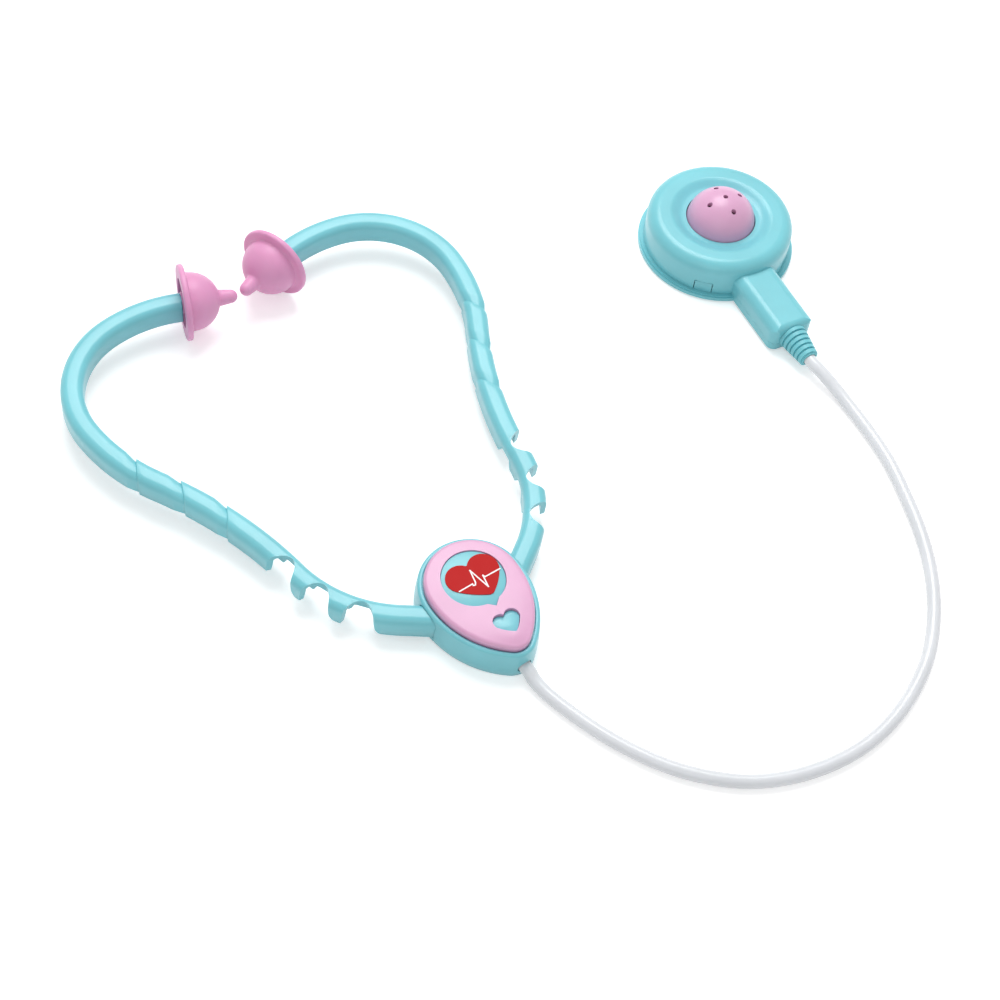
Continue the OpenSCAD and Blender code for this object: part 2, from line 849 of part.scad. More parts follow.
// The hole follows the dome's ball, so the dome can't be pulled out
module dome_hole() {
  rotate_extrude() {
    translate([0, -1])
      square([dome_hole_r, dome_mid_z + 1]);
    translate([0, dome_mid_z])
      quarter_disc(dome_hole_r);
  }
}

// The upper half of the handle, hollow, open towards the disc
module handle_shell() {
  difference() {
    handle_hood(0);
    handle_hood(chest_wall);
    cylinder(r = disc_r - chest_wall / 2, h = 40);
  }
}

// The hood of the handle, taken in by t, its edges rounded along it and at its end
module handle_hood(t) {
  low = t > 0 ? handle_split - 1 : handle_split;
  intersection() {
    translate([0, 1, 0])
      rotate([90, 0, 0])
        linear_extrude(handle_reach + 2)
          arch_outline(handle_w / 2 - t, low, handle_h - t, handle_shoulder - t * 0.6);
    rotate([90, 0, 90])
      translate([0, 0, -handle_w])
        linear_extrude(2 * handle_w)
          arch_outline(handle_reach - t, low, handle_h - t, handle_end_round - t * 0.4);
    linear_extrude(40)
      handle_outline(t);
  }
}

// The handle as seen from above, taken in by t
module handle_outline(t) {
  w = handle_w / 2 - t;
  r = handle_corner - t * 0.5;
  translate([-w, -handle_reach + t + r])
    square([2 * w, handle_reach - t - r]);
  translate([-w + r, -handle_reach + t])
    square([2 * (w - r), 10]);
  for (s = [-1, 1])
    translate([s * (w - r), -handle_reach + t + r])
      circle(r, $fn = 48);
}

// The window in the shell's wall that a snap tab shows in
module tab_window(gap) {
  translate([disc_r - chest_wall - 1, -tab_w / 2 - gap, lip_h - 1])
    cube([chest_wall + 3, tab_w + 2 * gap, tab_h + gap + 1]);
}

// The pocket in both halves of the handle that holds the strain relief's collar
module relief_seat() {
  translate([0, -handle_reach, handle_bore_z])
    rotate([-90, 0, 0]) {
      translate([0, 0, -1])
        cylinder(r = relief_root_r + fit_gap, h = 4, $fn = 48);
    }
}

module chest_base() {
  color(turquoise)
    on_chest()
      difference() {
        union() {
          cylinder(d = lip_d - 1, h = lip_h);
          translate([0, 0, 0.5])
            cylinder(d = lip_d, h = lip_h - 1);
          difference() {
            cylinder(r = disc_r - chest_wall - fit_gap, h = lip_h + 3.5);
            translate([0, 0, -1])
              cylinder(r = disc_r - 2 * chest_wall - fit_gap, h = lip_h + 6);
          }
          for (a = tab_angles)
            rotate([0, 0, a])
              snap_tab();
          handle_base();
        }
        translate([0, 0, floor_t])
          cylinder(r = disc_r - 2 * chest_wall - fit_gap, h = 20);
        relief_seat();
        translate([-handle_w / 2 + chest_wall + 0.4, -disc_r, floor_t])
          cube([handle_w - 2 * chest_wall - 0.8, 8, 20]);
      }
}

module snap_tab() {
  translate([disc_r - 2 * chest_wall - fit_gap, -tab_w / 2, 0.5])
    cube([2 * chest_wall + fit_gap - 0.15, tab_w, lip_h + tab_h - 0.5]);
}

// The lower half of the handle
module handle_base() {
  difference() {
    translate([0, 0, handle_floor_z])
      linear_extrude(handle_split - fit_gap / 2 - handle_floor_z)
        handle_outline(0);
    translate([0, 0, floor_t])
      linear_extrude(handle_split)
        handle_outline(chest_wall);
    translate([0, 0, -1])
      cylinder(r = disc_r - chest_wall, h = 3);
    // The wall of the top shell stands here on the base's lip
    translate([0, 0, lip_h])
      cylinder(r = disc_r + fit_gap, h = handle_split);
  }
}

module strain_relief() {
  root = 2.6;
  pitch = relief_length / relief_ribs;
  color(turquoise)
    on_chest()
      translate([0, -handle_reach, handle_bore_z])
        rotate([90, 0, 0])
          difference() {
            union() {
              translate([0, 0, -root])
                cylinder(r = relief_root_r, h = root + eps, $fn = 48);
              cylinder(r1 = relief_r - 0.7, r2 = relief_end_r - 0.6, h = relief_length, $fn = 48);
              for (i = [0 : relief_ribs - 1])
                translate([0, 0, i * pitch + 0.1])
                  cylinder(r1 = relief_r - i * (relief_r - relief_end_r) / relief_ribs,
                           r2 = relief_r - (i + 0.6) * (relief_r - relief_end_r) / relief_ribs,
                           h = pitch * 0.62, $fn = 48);
            }
            translate([0, 0, -root - 1])
              cylinder(r = tube_r + tube_gap, h = relief_length + root + 2, $fn = 48);
          }
}

module dome_button() {
  color(pink)
    on_chest()
      difference() {
        union() {
          translate([0, 0, dome_mid_z])
            sphere(dome_r);
          translate([0, 0, button_flange_z])
            cylinder(r = dome_r, h = dome_mid_z - button_flange_z);
          translate([0, 0, button_flange_z])
            cylinder(r = button_flange_r, h = button_flange_t);
        }
        translate([0, 0, dome_mid_z])
          sphere(dome_r - dome_wall);
        translate([0, 0, button_flange_z - 20])
          cylinder(r = dome_r + 5, h = 20);
        translate([0, 0, button_flange_z - 1])
          cylinder(r = dome_r - dome_wall, h = dome_mid_z - button_flange_z + 1);
        for (p = [[0, 0], [1, 0], [0, 1], [-1, 0], [0, -1]])
          translate([p[0] * sound_ring_r, p[1] * sound_ring_r, dome_mid_z])
            cylinder(d = sound_hole_d, h = dome_r + 1, $fn = 24);
      }
}

// The bellows under the dome, which blows the reed and pushes the dome back up
module squeaker_bellows() {
  fold = (button_flange_z - floor_t - 1.6) / bellows_folds;
  neck_r = bellows_r - 1.4;
  color(amber)
    on_chest()
      rotate_extrude($fn = 96)
        difference() {
          union() {
            translate([0, floor_t])
              square([bellows_r, 0.8]);
            translate([0, button_flange_z - 0.9])
              square([dome_r - dome_wall + 1, 0.9]);
            for (i = [0 : bellows_folds - 1])
              translate([0, floor_t + 0.8 + i * fold])
                polygon([[0, -0.1], [neck_r, -0.1], [neck_r, 0], [bellows_r, fold / 2],
                         [neck_r, fold], [neck_r, fold + 0.1], [0, fold + 0.1]]);
          }
          translate([-1, floor_t + 0.8])
            square([neck_r - bellows_wall + 1, button_flange_z - floor_t - 1.6]);
          translate([-1, floor_t - 1])
            square([4.2, 3]);
        }
}

// The little whistle in the bellows' floor
module squeaker_reed() {
  color([0.95, 0.95, 0.92])
    on_chest()
      translate([0, 0, floor_t])
        difference() {
          cylinder(r = 3, h = 2.6, $fn = 48);
          translate([-0.6, -2, 0.6])
            cube([1.2, 4, 3]);
        }
}

// ---------------------------------------------------------------- nodes

housing_front();
housing_back();
face_plate();
heart_badge();
for (side = ["left", "right"]) {
  color(turquoise) on_side(side) arm_stub();
  for (i = [1 : 3])
    color(turquoise) on_side(side) arm_web(i);
  for (i = [1 : 2])
    color(turquoise) on_side(side) arm_rib(i);
  color(turquoise) on_side(side) arm_long();
  color(pink) on_side(side) ear_tip();
}
tube();
strain_relief();
chest_top();
chest_base();
dome_button();
squeaker_bellows();
squeaker_reed();
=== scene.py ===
import math

import bmesh
import bpy
from mathutils import Matrix, Vector


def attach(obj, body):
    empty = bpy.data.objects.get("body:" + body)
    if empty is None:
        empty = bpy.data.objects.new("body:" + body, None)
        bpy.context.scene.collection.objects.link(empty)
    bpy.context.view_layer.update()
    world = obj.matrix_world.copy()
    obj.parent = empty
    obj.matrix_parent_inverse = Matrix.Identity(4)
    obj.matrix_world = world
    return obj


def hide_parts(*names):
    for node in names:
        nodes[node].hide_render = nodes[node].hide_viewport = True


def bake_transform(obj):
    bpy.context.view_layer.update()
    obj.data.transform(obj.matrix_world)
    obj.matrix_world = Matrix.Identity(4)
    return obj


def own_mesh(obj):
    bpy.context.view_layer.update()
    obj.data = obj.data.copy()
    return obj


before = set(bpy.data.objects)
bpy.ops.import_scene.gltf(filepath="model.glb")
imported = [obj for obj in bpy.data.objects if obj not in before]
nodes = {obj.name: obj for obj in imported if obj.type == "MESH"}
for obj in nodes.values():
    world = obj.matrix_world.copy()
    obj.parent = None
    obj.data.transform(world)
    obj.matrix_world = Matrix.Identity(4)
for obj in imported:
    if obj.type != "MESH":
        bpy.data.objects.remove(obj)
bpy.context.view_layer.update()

MM = 0.001
SIDES = (("left", -1), ("right", 1))


def in_scene(name, data):
    """A new object of this data, linked into the scene."""
    obj = bpy.data.objects.new(name, data)
    bpy.context.scene.collection.objects.link(obj)
    return obj


# ---------------------------------------------------------------- camera, fitted to the photo

CAMERA_AT = (-349.4, -303.0, 475.6)
CAMERA_RIGHT = Vector((0.81251, -0.57735, 0.08054))
CAMERA_UP = Vector((0.43290, 0.69012, 0.57995))
CAMERA_LENS, SENSOR_WIDTH = 71.43, 36
CLIP_NEAR, CLIP_FAR = 0.01, 20

camera = in_scene("photo_camera", bpy.data.cameras.new("photo_camera"))
right = CAMERA_RIGHT.normalized()
back = right.cross(CAMERA_UP).normalized()
up = back.cross(right)
camera.matrix_world = Matrix((
    (right.x, up.x, back.x, CAMERA_AT[0] * MM),
    (right.y, up.y, back.y, CAMERA_AT[1] * MM),
    (right.z, up.z, back.z, CAMERA_AT[2] * MM),
    (0, 0, 0, 1)))
camera.data.lens = CAMERA_LENS
camera.data.sensor_width = SENSOR_WIDTH
camera.data.clip_start = CLIP_NEAR
camera.data.clip_end = CLIP_FAR
bpy.context.scene.camera = camera

# ---------------------------------------------------------------- materials

CLOUD, SMUDGE, GRAIN = (60.0, 4.0), (198.0, 6.0), (900.0, 3.0)  # each noise's scale and detail
CLOUD_SPAN = (0.3, 0.7)
ROUGH_SPREAD = 0.05
GRAIN_DEPTH = 0.0001
PLASTIC_IOR, COAT_ROUGH = 1.46, 0.12
PLAIN_SHINE, STICKER_SHINE = 0.5, 0.12


def set_inputs(node, values):
    for name, value in values.items():
        node.inputs[name].default_value = value


def noise(tree, where, scale, detail):
    node = tree.nodes.new("ShaderNodeTexNoise")
    set_inputs(node, {"Scale": scale, "Detail": detail})
    tree.links.new(where.outputs["Object"], node.inputs["Vector"])
    return node.outputs["Fac"]


def material(name, color, rough=0.3, patch=0.06, bump=0.1, coat=0.0, shine=PLAIN_SHINE,
             subsurface=0.0, radius=(0.004, 0.004, 0.004)):
    """Moulded plastic or rubber: colour in soft patches, cloudy roughness and a fine bump."""
    m = bpy.data.materials.new(name)
    m.use_nodes = True
    tree = m.node_tree
    link = tree.links.new
    shader = tree.nodes["Principled BSDF"]
    where = tree.nodes.new("ShaderNodeTexCoord")

    ramp = tree.nodes.new("ShaderNodeValToRGB")
    dark, light = ramp.color_ramp.elements
    dark.position, light.position = CLOUD_SPAN
    dark.color = tuple(c * (1 - patch) for c in color) + (1,)
    light.color = tuple(c * (1 + patch / 2) for c in color) + (1,)
    link(noise(tree, where, *CLOUD), ramp.inputs["Fac"])
    link(ramp.outputs["Color"], shader.inputs["Base Color"])

    rough_range = tree.nodes.new("ShaderNodeMapRange")
    set_inputs(rough_range, {"To Min": rough - ROUGH_SPREAD, "To Max": rough + ROUGH_SPREAD})
    link(noise(tree, where, *SMUDGE), rough_range.inputs["Value"])
    link(rough_range.outputs["Result"], shader.inputs["Roughness"])

    bumps = tree.nodes.new("ShaderNodeBump")
    set_inputs(bumps, {"Strength": bump, "Distance": GRAIN_DEPTH})
    link(noise(tree, where, *GRAIN), bumps.inputs["Height"])
    link(bumps.outputs["Normal"], shader.inputs["Normal"])

    set_inputs(shader, {"IOR": PLASTIC_IOR, "Specular IOR Level": shine,
                        "Coat Weight": coat, "Coat Roughness": COAT_ROUGH})
    if subsurface:
        set_inputs(shader, {"Subsurface Weight": subsurface, "Subsurface Radius": radius,
                            "Subsurface Scale": 1.0})
    return m


TURQUOISE = (0.185, 0.575, 0.645)
TURQUOISE_DEPTH = (0.0012, 0.003, 0.0035)
PINK = (0.720, 0.390, 0.590)
SOFT_PINK = (0.740, 0.325, 0.550)

turquoise = material("turquoise_plastic", TURQUOISE, rough=0.33, coat=0.15,
                     subsurface=0.08, radius=TURQUOISE_DEPTH)
pink = material("pink_plastic", PINK, rough=0.34, coat=0.12,
                subsurface=0.08, radius=(0.003, 0.0015, 0.0025))
soft_pink = material("soft_pink", SOFT_PINK, rough=0.42, bump=0.14,
                     subsurface=0.15, radius=(0.003, 0.0012, 0.002))
heart_red = material("red_sticker", (0.50, 0.004, 0.004), rough=0.42, patch=0.03, bump=0.03,
                     shine=STICKER_SHINE)
white_ink = material("white_ink", (0.86, 0.86, 0.86), patch=0.02, bump=0.02)
tube_vinyl = material("tube_vinyl", (0.72, 0.74, 0.77), rough=0.24, bump=0.05, coat=0.2,
                      subsurface=0.35, radius=(0.004, 0.004, 0.0042))
soft_turquoise = material("soft_turquoise", TURQUOISE, rough=0.45, bump=0.15,
                          subsurface=0.1, radius=TURQUOISE_DEPTH)
bellows_rubber = material("bellows_rubber", (0.62, 0.52, 0.30), rough=0.6, bump=0.2)
reed_plastic = material("reed_plastic", (0.85, 0.85, 0.80), rough=0.5)

PAINTS = {"face_plate": pink, "dome_button": pink, "heart_badge": heart_red,
          "left_ear_tip": soft_pink, "right_ear_tip": soft_pink, "tube": tube_vinyl,
          "strain_relief": soft_turquoise, "squeaker_bellows": bellows_rubber,
          "squeaker_reed": reed_plastic}


def paint(obj, m):
    if obj.material_slots:
        for s in obj.material_slots:
            s.link = "OBJECT"
            s.material = m
    else:
        obj.data.materials.append(m)


def repaint(obj, m):
    """Leaves one material on a piece, where a cut has brought in the tool's."""
    obj.data.materials.clear()
    obj.data.materials.append(m)


for name, node in nodes.items():
    paint(node, PAINTS.get(name, turquoise))

# ---------------------------------------------------------------- sizes shared with the CAD, in mm

# how far the headset's frame lies to the left of the chest piece and in front of it
HEADSET_AT = (149.0, 86.4)
PLATE_TOP_R, PLATE_TIP_R, PLATE_SPAN, PLATE_SIDE_R = 14.0, 5.0, 19.4, 28.0
PLATE_MID_Y = 14.0
RIM_W, RIM_H, POCKET_DEPTH = 2.0, 11.6, 0.8
POCKET_Z = RIM_H - POCKET_DEPTH
PLATE_T, PLATE_CROWN = 2.4, 0.7
PLATE_TOP = POCKET_Z + PLATE_T
TIP_MID_Y = PLATE_MID_Y - PLATE_SPAN
HOUSING_TIP_Y = TIP_MID_Y - PLATE_TIP_R - RIM_W
ARM_W, ARM_H, ARM_Z, ARM_ROUND, ARM_WALL = 6.8, 7.4, 1.9, 2.4, 1.4
ARM_TOP = ARM_Z + ARM_H
CHANNEL_H = ARM_H - ARM_WALL
NOTCH_W = 5.6
STUB_START, START_ANGLE, STUB_LENGTH = (11.8, 10.9), 34.6, 12.0
NOTCH_BEND_R, FIRST_NOTCH, NOTCH_PITCH = 41.3, 15.4, 17.5
# radius and turn of the arm's bends; part.scad solves the turns of the first and the third from
# the ear tips' gap and heading
BENDS = ((125.0, -22.533), (58.5, 27.3), (28.6, 83.718), (45.0, 31.0))
BAND_START, BAND_PITCH, BAND_W, BAND_DEPTH, BAND_SLANT = 26.0, 15.3, 4.1, 0.6, 40.0
PEG_R, PEG_LENGTH, PEG_RISE = 2.2, 8.0, 1.4
PEG_Z = ARM_Z + ARM_H / 2 + PEG_RISE
EAR_RIM_R, EAR_RIM_T, EAR_BELL_R, EAR_BELL_L = 11.8, 1.9, 9.0, 11.8
EAR_NUB_R, EAR_NUB_L, EAR_WALL = 2.3, 5.4, 1.3
WINDOW_AT, WINDOW_R = (0.3, 14.6), 9.3
# where the window's small point leaves its circle, to the left and right, and the point's tip
WINDOW_POINT = (-1.7, 2.4, (0.2, -10.9))
HEART_AT, HEART_W, HEART_TIP = (0.9, 14.1), 16.5, 0.41
SMALL_HEART_AT, SMALL_HEART_W, SMALL_HEART_TIP = (0.5, -2.1), 8.4, 0.47
HOUSING_BORE_Z, TUBE_D = 3.6, 4.0
HANDLE_TURN, HANDLE_REACH, RELIEF_LENGTH, HANDLE_BORE_Z = 8.7, 47.5, 10.5, 5.0


def cosd(a):
    return math.cos(math.radians(a))


def sind(a):
    return math.sin(math.radians(a))


def turned(h):
    return Vector((cosd(h), sind(h)))


def bend_point(b, t):
    """The point of a bend (start, heading, radius, turn) where it has turned by t degrees."""
    p, h, r, turn = b
    s = 1 if turn > 0 else -1
    mid = p + s * r * Vector((-sind(h), cosd(h)))
    return mid + s * r * Vector((sind(h + t), -cosd(h + t)))


half_notch_turn = math.degrees(NOTCH_W / 2 / NOTCH_BEND_R)
notch_bend = (Vector(STUB_START) + STUB_LENGTH * turned(START_ANGLE), START_ANGLE, NOTCH_BEND_R,
              FIRST_NOTCH + 2 * NOTCH_PITCH - half_notch_turn)
arm_bends = []
last_bend = notch_bend
for r, turn in BENDS:
    last_bend = (bend_point(last_bend, last_bend[3]), last_bend[1] + last_bend[3], r, turn)
    arm_bends.append(last_bend)
ear_at = bend_point(last_bend, last_bend[3])
ear_heading = last_bend[1] + last_bend[3]

# the headset leans on its ear tips' rims and on the housing's tip
ear_run = ear_at.y - HOUSING_TIP_Y
LEAN = math.asin(EAR_RIM_R / math.hypot(ear_run, PEG_Z)) - math.atan2(PEG_Z, ear_run)


def headset(x, y, z):
    """A point of the headset's own flat frame, in mm, to the row frame in metres."""
    run = y - HOUSING_TIP_Y
    return Vector((
        (x - HEADSET_AT[0]) * MM,
        (-HEADSET_AT[1] + HOUSING_TIP_Y + run * math.cos(LEAN) - z * math.sin(LEAN)) * MM,
        (run * math.sin(LEAN) + z * math.cos(LEAN)) * MM))


def on_arm(s, at, h, x, z, along=0.0):
    """A point x across the arm of side s and z high, some way along from a spot (at, h)."""
    return headset(s * (at.x + along * cosd(h) + x * sind(h)),
                   at.y + along * sind(h) - x * cosd(h), z)


def chest(x, y, z):
    """A point of the chest piece's own frame, in mm, to the row frame in metres."""
    c, s = cosd(-HANDLE_TURN), sind(-HANDLE_TURN)
    return Vector(((x * c - y * s) * MM, (x * s + y * c) * MM, z * MM))


# ---------------------------------------------------------------- outlines and meshes

SHARP = 35.0


def arc(mid, r, a0, a1, n):
    return [(mid[0] + r * cosd(a0 + (a1 - a0) * k / n), mid[1] + r * sind(a0 + (a1 - a0) * k / n))
            for k in range(n + 1)]


def circle(r, n):
    turns = [2 * math.pi * k / n for k in range(n)]
    return [(r * math.cos(a), r * math.sin(a)) for a in turns]


def mirrored(points):
    """The points on the other side of x = 0, in the order that carries an outline on."""
    return [(-x, y) for x, y in reversed(points)]


def steps(start, end, n):
    """n even steps from start to end, with end and without start."""
    return [start + (end - start) * k / n for k in range(1, n + 1)]


def loops_faces(count, n, around=False):
    """Faces of a skin through count loops of n points, capped, or going around to the first."""
    faces = []
    for i in range(count if around else count - 1):
        here, there = i * n, (i + 1) % count * n
        for k in range(n):
            ahead = (k + 1) % n
            faces.append((here + k, here + ahead, there + ahead, there + k))
    if not around:
        faces.append(tuple(range(n - 1, -1, -1)))
        faces.append(tuple((count - 1) * n + k for k in range(n)))
    return faces


def shade(obj, angle=SHARP):
    mesh = obj.data
    mesh.shade_smooth()
    mesh.set_sharp_from_angle(angle=math.radians(angle))


def mesh_piece(name, points, faces, m, angle=SHARP):
    """A mesh object whose edges are smooth below the angle, or all sharp with None."""
    mesh = bpy.data.meshes.new(name)
    mesh.from_pydata([tuple(p) for p in points], [], faces)
    mesh.validate()
    work = bmesh.new()
    work.from_mesh(mesh)
    bmesh.ops.recalc_face_normals(work, faces=work.faces)
    work.to_mesh(mesh)
    work.free()
    mesh.materials.append(m)
    obj = in_scene(name, mesh)
    if angle is not None:
        shade(obj, angle)
    return obj


def skin(name, loops, m, angle=SHARP, around=False):
    return mesh_piece(name, [p for loop in loops for p in loop],
                      loops_faces(len(loops), len(loops[0]), around), m, angle)


def prism(name, outline, low, top):
    """A straight-sided solid of an outline in the headset's frame."""
    return skin(name, [[headset(x, y, z) for x, y in outline] for z in (low, top)], turquoise,
                angle=None)


def apply_modifiers(obj):
    bpy.context.view_layer.update()
    graph = bpy.context.evaluated_depsgraph_get()
    done = bpy.data.meshes.new_from_object(obj.evaluated_get(graph))
    old = obj.data
    obj.modifiers.clear()
    obj.data = done
    bpy.data.meshes.remove(old)


def cut(obj, tool, operation="DIFFERENCE"):
    mod = obj.modifiers.new("cut", "BOOLEAN")
    mod.operation = operation
    mod.solver = "EXACT"
    mod.object = tool
    apply_modifiers(obj)
    bpy.data.objects.remove(tool)


def soften(obj, width, segments=2, angle=40.0):
    mod = obj.modifiers.new("soft_edges", "BEVEL")
    mod.width = width * MM
    mod.segments = segments
    mod.limit_method = "ANGLE"
    mod.angle_limit = math.radians(angle)
    mod.use_clamp_overlap = True
    apply_modifiers(obj)


# ---------------------------------------------------------------- tube, along the CAD's route

TUBE_IN_HOUSING = (6.5, 0, -2)
TUBE_MID = (
    (-149, -103, 2.6), (-148.6, -107, 2.1), (-147.6, -112, 2), (-146, -118, 2),
    (-143, -127, 2), (-139, -136, 2), (-133, -146, 2), (-126, -154, 2), (-118, -160.5, 2),
    (-108, -165.5, 2), (-97, -168.5, 2), (-85, -169.5, 2), (-73, -168, 2), (-61, -164, 2),
    (-49, -157.5, 2), (-38, -148, 2), (-29, -137, 2), (-22, -125, 2), (-16.5, -112, 2),
    (-12, -99, 2), (-9.6, -87, 2), (-8.4, -77, 2.2), (-8.1, -70, 3), (-8.5, -64, 4.3))
TUBE_IN_RELIEF = (RELIEF_LENGTH + 1, RELIEF_LENGTH - 3, -1)
TUBE_STEPS, TUBE_SIDES = 6, 20

tube_route = [headset(0, HOUSING_TIP_Y + d, HOUSING_BORE_Z) for d in TUBE_IN_HOUSING]
tube_route += [Vector(p) * MM for p in TUBE_MID]
tube_route += [chest(0, -HANDLE_REACH - d, HANDLE_BORE_Z) for d in TUBE_IN_RELIEF]


def between(a, b, ta, tb, t):
    return a * ((tb - t) / (tb - ta)) + b * ((t - ta) / (tb - ta))


def smooth_line(points, count):
    """A centripetal Catmull-Rom line through the points, with count steps between each two."""
    ends = [points[0] * 2 - points[1]] + points + [points[-1] * 2 - points[-2]]
    out = []
    for p0, p1, p2, p3 in zip(ends, ends[1:], ends[2:], ends[3:]):
        t1 = math.sqrt((p1 - p0).length)
        t2 = t1 + math.sqrt((p2 - p1).length)
        t3 = t2 + math.sqrt((p3 - p2).length)
        for k in range(count):
            t = t1 + (t2 - t1) * k / count
            a1 = between(p0, p1, 0.0, t1, t)
            a2 = between(p1, p2, t1, t2, t)
            a3 = between(p2, p3, t2, t3, t)
            b1 = between(a1, a2, 0.0, t2, t)
            b2 = between(a2, a3, t1, t3, t)
            out.append(between(b1, b2, t1, t2, t))
    out.append(points[-1].copy())
    return out


def tube_loops(line, radius, sides):
    loops = []
    for i, p in enumerate(line):
        along = (line[min(i + 1, len(line) - 1)] - line[max(i - 1, 0)]).normalized()
        across = along.cross(Vector((0, 0, 1))).normalized()
        rise = across.cross(along)
        loops.append([p + radius * (x * across + y * rise) for x, y in circle(1, sides)])
    return loops


line = smooth_line(tube_route, TUBE_STEPS)
tube = skin("bendy_tube", tube_loops(line, TUBE_D / 2 * MM, TUBE_SIDES), tube_vinyl)
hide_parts("tube")
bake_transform(tube)

# ---------------------------------------------------------------- outlines on the housing

side_to_top = PLATE_SIDE_R - PLATE_TOP_R
side_to_tip = PLATE_SIDE_R - PLATE_TIP_R
side_rise = (side_to_top ** 2 - side_to_tip ** 2 + PLATE_SPAN ** 2) / (2 * PLATE_SPAN)
side_mid = (math.sqrt(side_to_top ** 2 - side_rise ** 2), PLATE_MID_Y - side_rise)
top_join = math.degrees(math.atan2(side_rise, side_mid[0]))
tip_join = math.degrees(math.atan2(side_mid[1] - TIP_MID_Y, side_mid[0]))
# the drop's arcs: middle, radius, first angle, sweep, number of points
DROP = (
    ((0, PLATE_MID_Y), PLATE_TOP_R, top_join, 180 - 2 * top_join, 60),
    (side_mid, PLATE_SIDE_R, 180 - top_join, top_join + tip_join, 36),
    ((0, TIP_MID_Y), PLATE_TIP_R, 180 + tip_join, 180 - 2 * tip_join, 36),
    ((-side_mid[0], side_mid[1]), PLATE_SIDE_R, -tip_join, top_join + tip_join, 36))
TINY = 1e-6


def drop(e):
    """The housing's drop-shaped outline, grown by e, as (x, y) and the point it shrinks to."""
    out = []
    for mid, r, first, sweep, n in DROP:
        for k in range(n):
            d = turned(first + sweep * k / n)
            p = Vector(mid) + (r + e) * d
            spine = p - d * (p.x / d.x) if abs(d.x) > TINY else Vector(mid)
            out.append((p, Vector((0, min(max(spine.y, TIP_MID_Y), PLATE_MID_Y)))))
    return out


def drop_loop(e, z, share=0.0):
    """The outline at a height, shrunk by a share of the way to its spine."""
    return [headset(*(p + share * (s - p)), z) for p, s in drop(e)]


def round_loops(e, top, r, n):
    """Loops over an edge rounded by r, from the wall to the flat."""
    return [drop_loop(x, z) for x, z in arc((e - r, top - r), r, 0, 90, n)]


# the heart's form, as shares of its width
HEART_LOBE_R, HEART_LOBE_Y, HEART_FULLNESS, HEART_TIP_ROUND = 0.275, 0.125, 0.028, 0.012
# degrees by which a lobe's arc stops before its flank and before the other lobe
FLANK_GAP, LOBE_GAP = 16, 4
FLANK_START, LEAN_POWER = 0.06, 1.5
LOBE_STEPS, FLANK_STEPS, WINDOW_STEPS = 40, 12, 96


def heart(w, at, tip_share, grow=0.0, lean=0.0):
    """A heart: two lobes and two slightly full sides to a rounded tip, which may lean aside."""
    lobe_r = w * HEART_LOBE_R
    lobe = (w / 2 - lobe_r, w * HEART_LOBE_Y)
    tip_y = -w * tip_share
    drop_y = lobe[1] - tip_y
    reach = math.hypot(lobe[0], drop_y)
    touch = 180 - math.degrees(math.acos(lobe_r / reach) + math.atan2(drop_y, lobe[0]))
    notch = math.degrees(math.acos(lobe[0] / lobe_r))
    side = arc(lobe, lobe_r + grow, FLANK_GAP - touch, 180 - notch - LOBE_GAP, LOBE_STEPS)
    start = Vector(side[0])
    tip = Vector((0, tip_y - grow))
    middle = (start + tip) / 2
    full = middle + w * HEART_FULLNESS * Vector((1, -1)).normalized()
    low = tip + Vector((0, w * HEART_TIP_ROUND))
    flank = [tuple((1 - t) ** 2 * low + 2 * t * (1 - t) * (full * 2 - middle) + t * t * start)
             for t in [FLANK_START] + steps(FLANK_START, 1, FLANK_STEPS)[:-1]]
    half = flank + side
    return [(x + at[0] + lean * max(0.0, (lobe[1] - y) / drop_y) ** LEAN_POWER, y + at[1])
            for x, y in half + mirrored(half)]


def window(grow=0.0):
    """The round window with its small point."""
    r = WINDOW_R + grow
    from_x, to_x, tip = WINDOW_POINT
    ring = arc((0, 0), r, -math.degrees(math.acos(to_x / r)),
               180 + math.degrees(math.acos(-from_x / r)), WINDOW_STEPS)
    return [(x + WINDOW_AT[0], y + WINDOW_AT[1]) for x, y in ring + [(tip[0], tip[1] - grow)]]


# ---------------------------------------------------------------- housing

# the rim is lower here than in the CAD, as in the photo
RIM_SHOWN = 10.3
SEAT_Z = 9.6
# growth of the drop and height, up the wall and down inside the rim
WALL = ((1.85, 0.0), (2.05, 0.3), (2.1, 2.0), (2.08, 4.0), (1.98, 6.0), (1.85, 7.8), (1.74, 9.1))
RIM_OUT, RIM_ROUND, RIM_STEPS = 1.7, 0.9, 8
RIM_INSIDE = ((0.5, RIM_SHOWN - 0.02), (0.36, RIM_SHOWN - 0.08), (0.3, RIM_SHOWN - 0.25),
              (0.3, SEAT_Z))
# the arms' mouths and the tube's bore: where each cut starts and ends along its own axis
MOUTH_RUN, MOUTH_GAP, MOUTH_LOW, MOUTH_STEPS = (-1.5, 10.5), 0.2, -1, 6
BORE_RUN, BORE_R, BORE_SIDES = (-3.0, 8.0), 2.3, 40

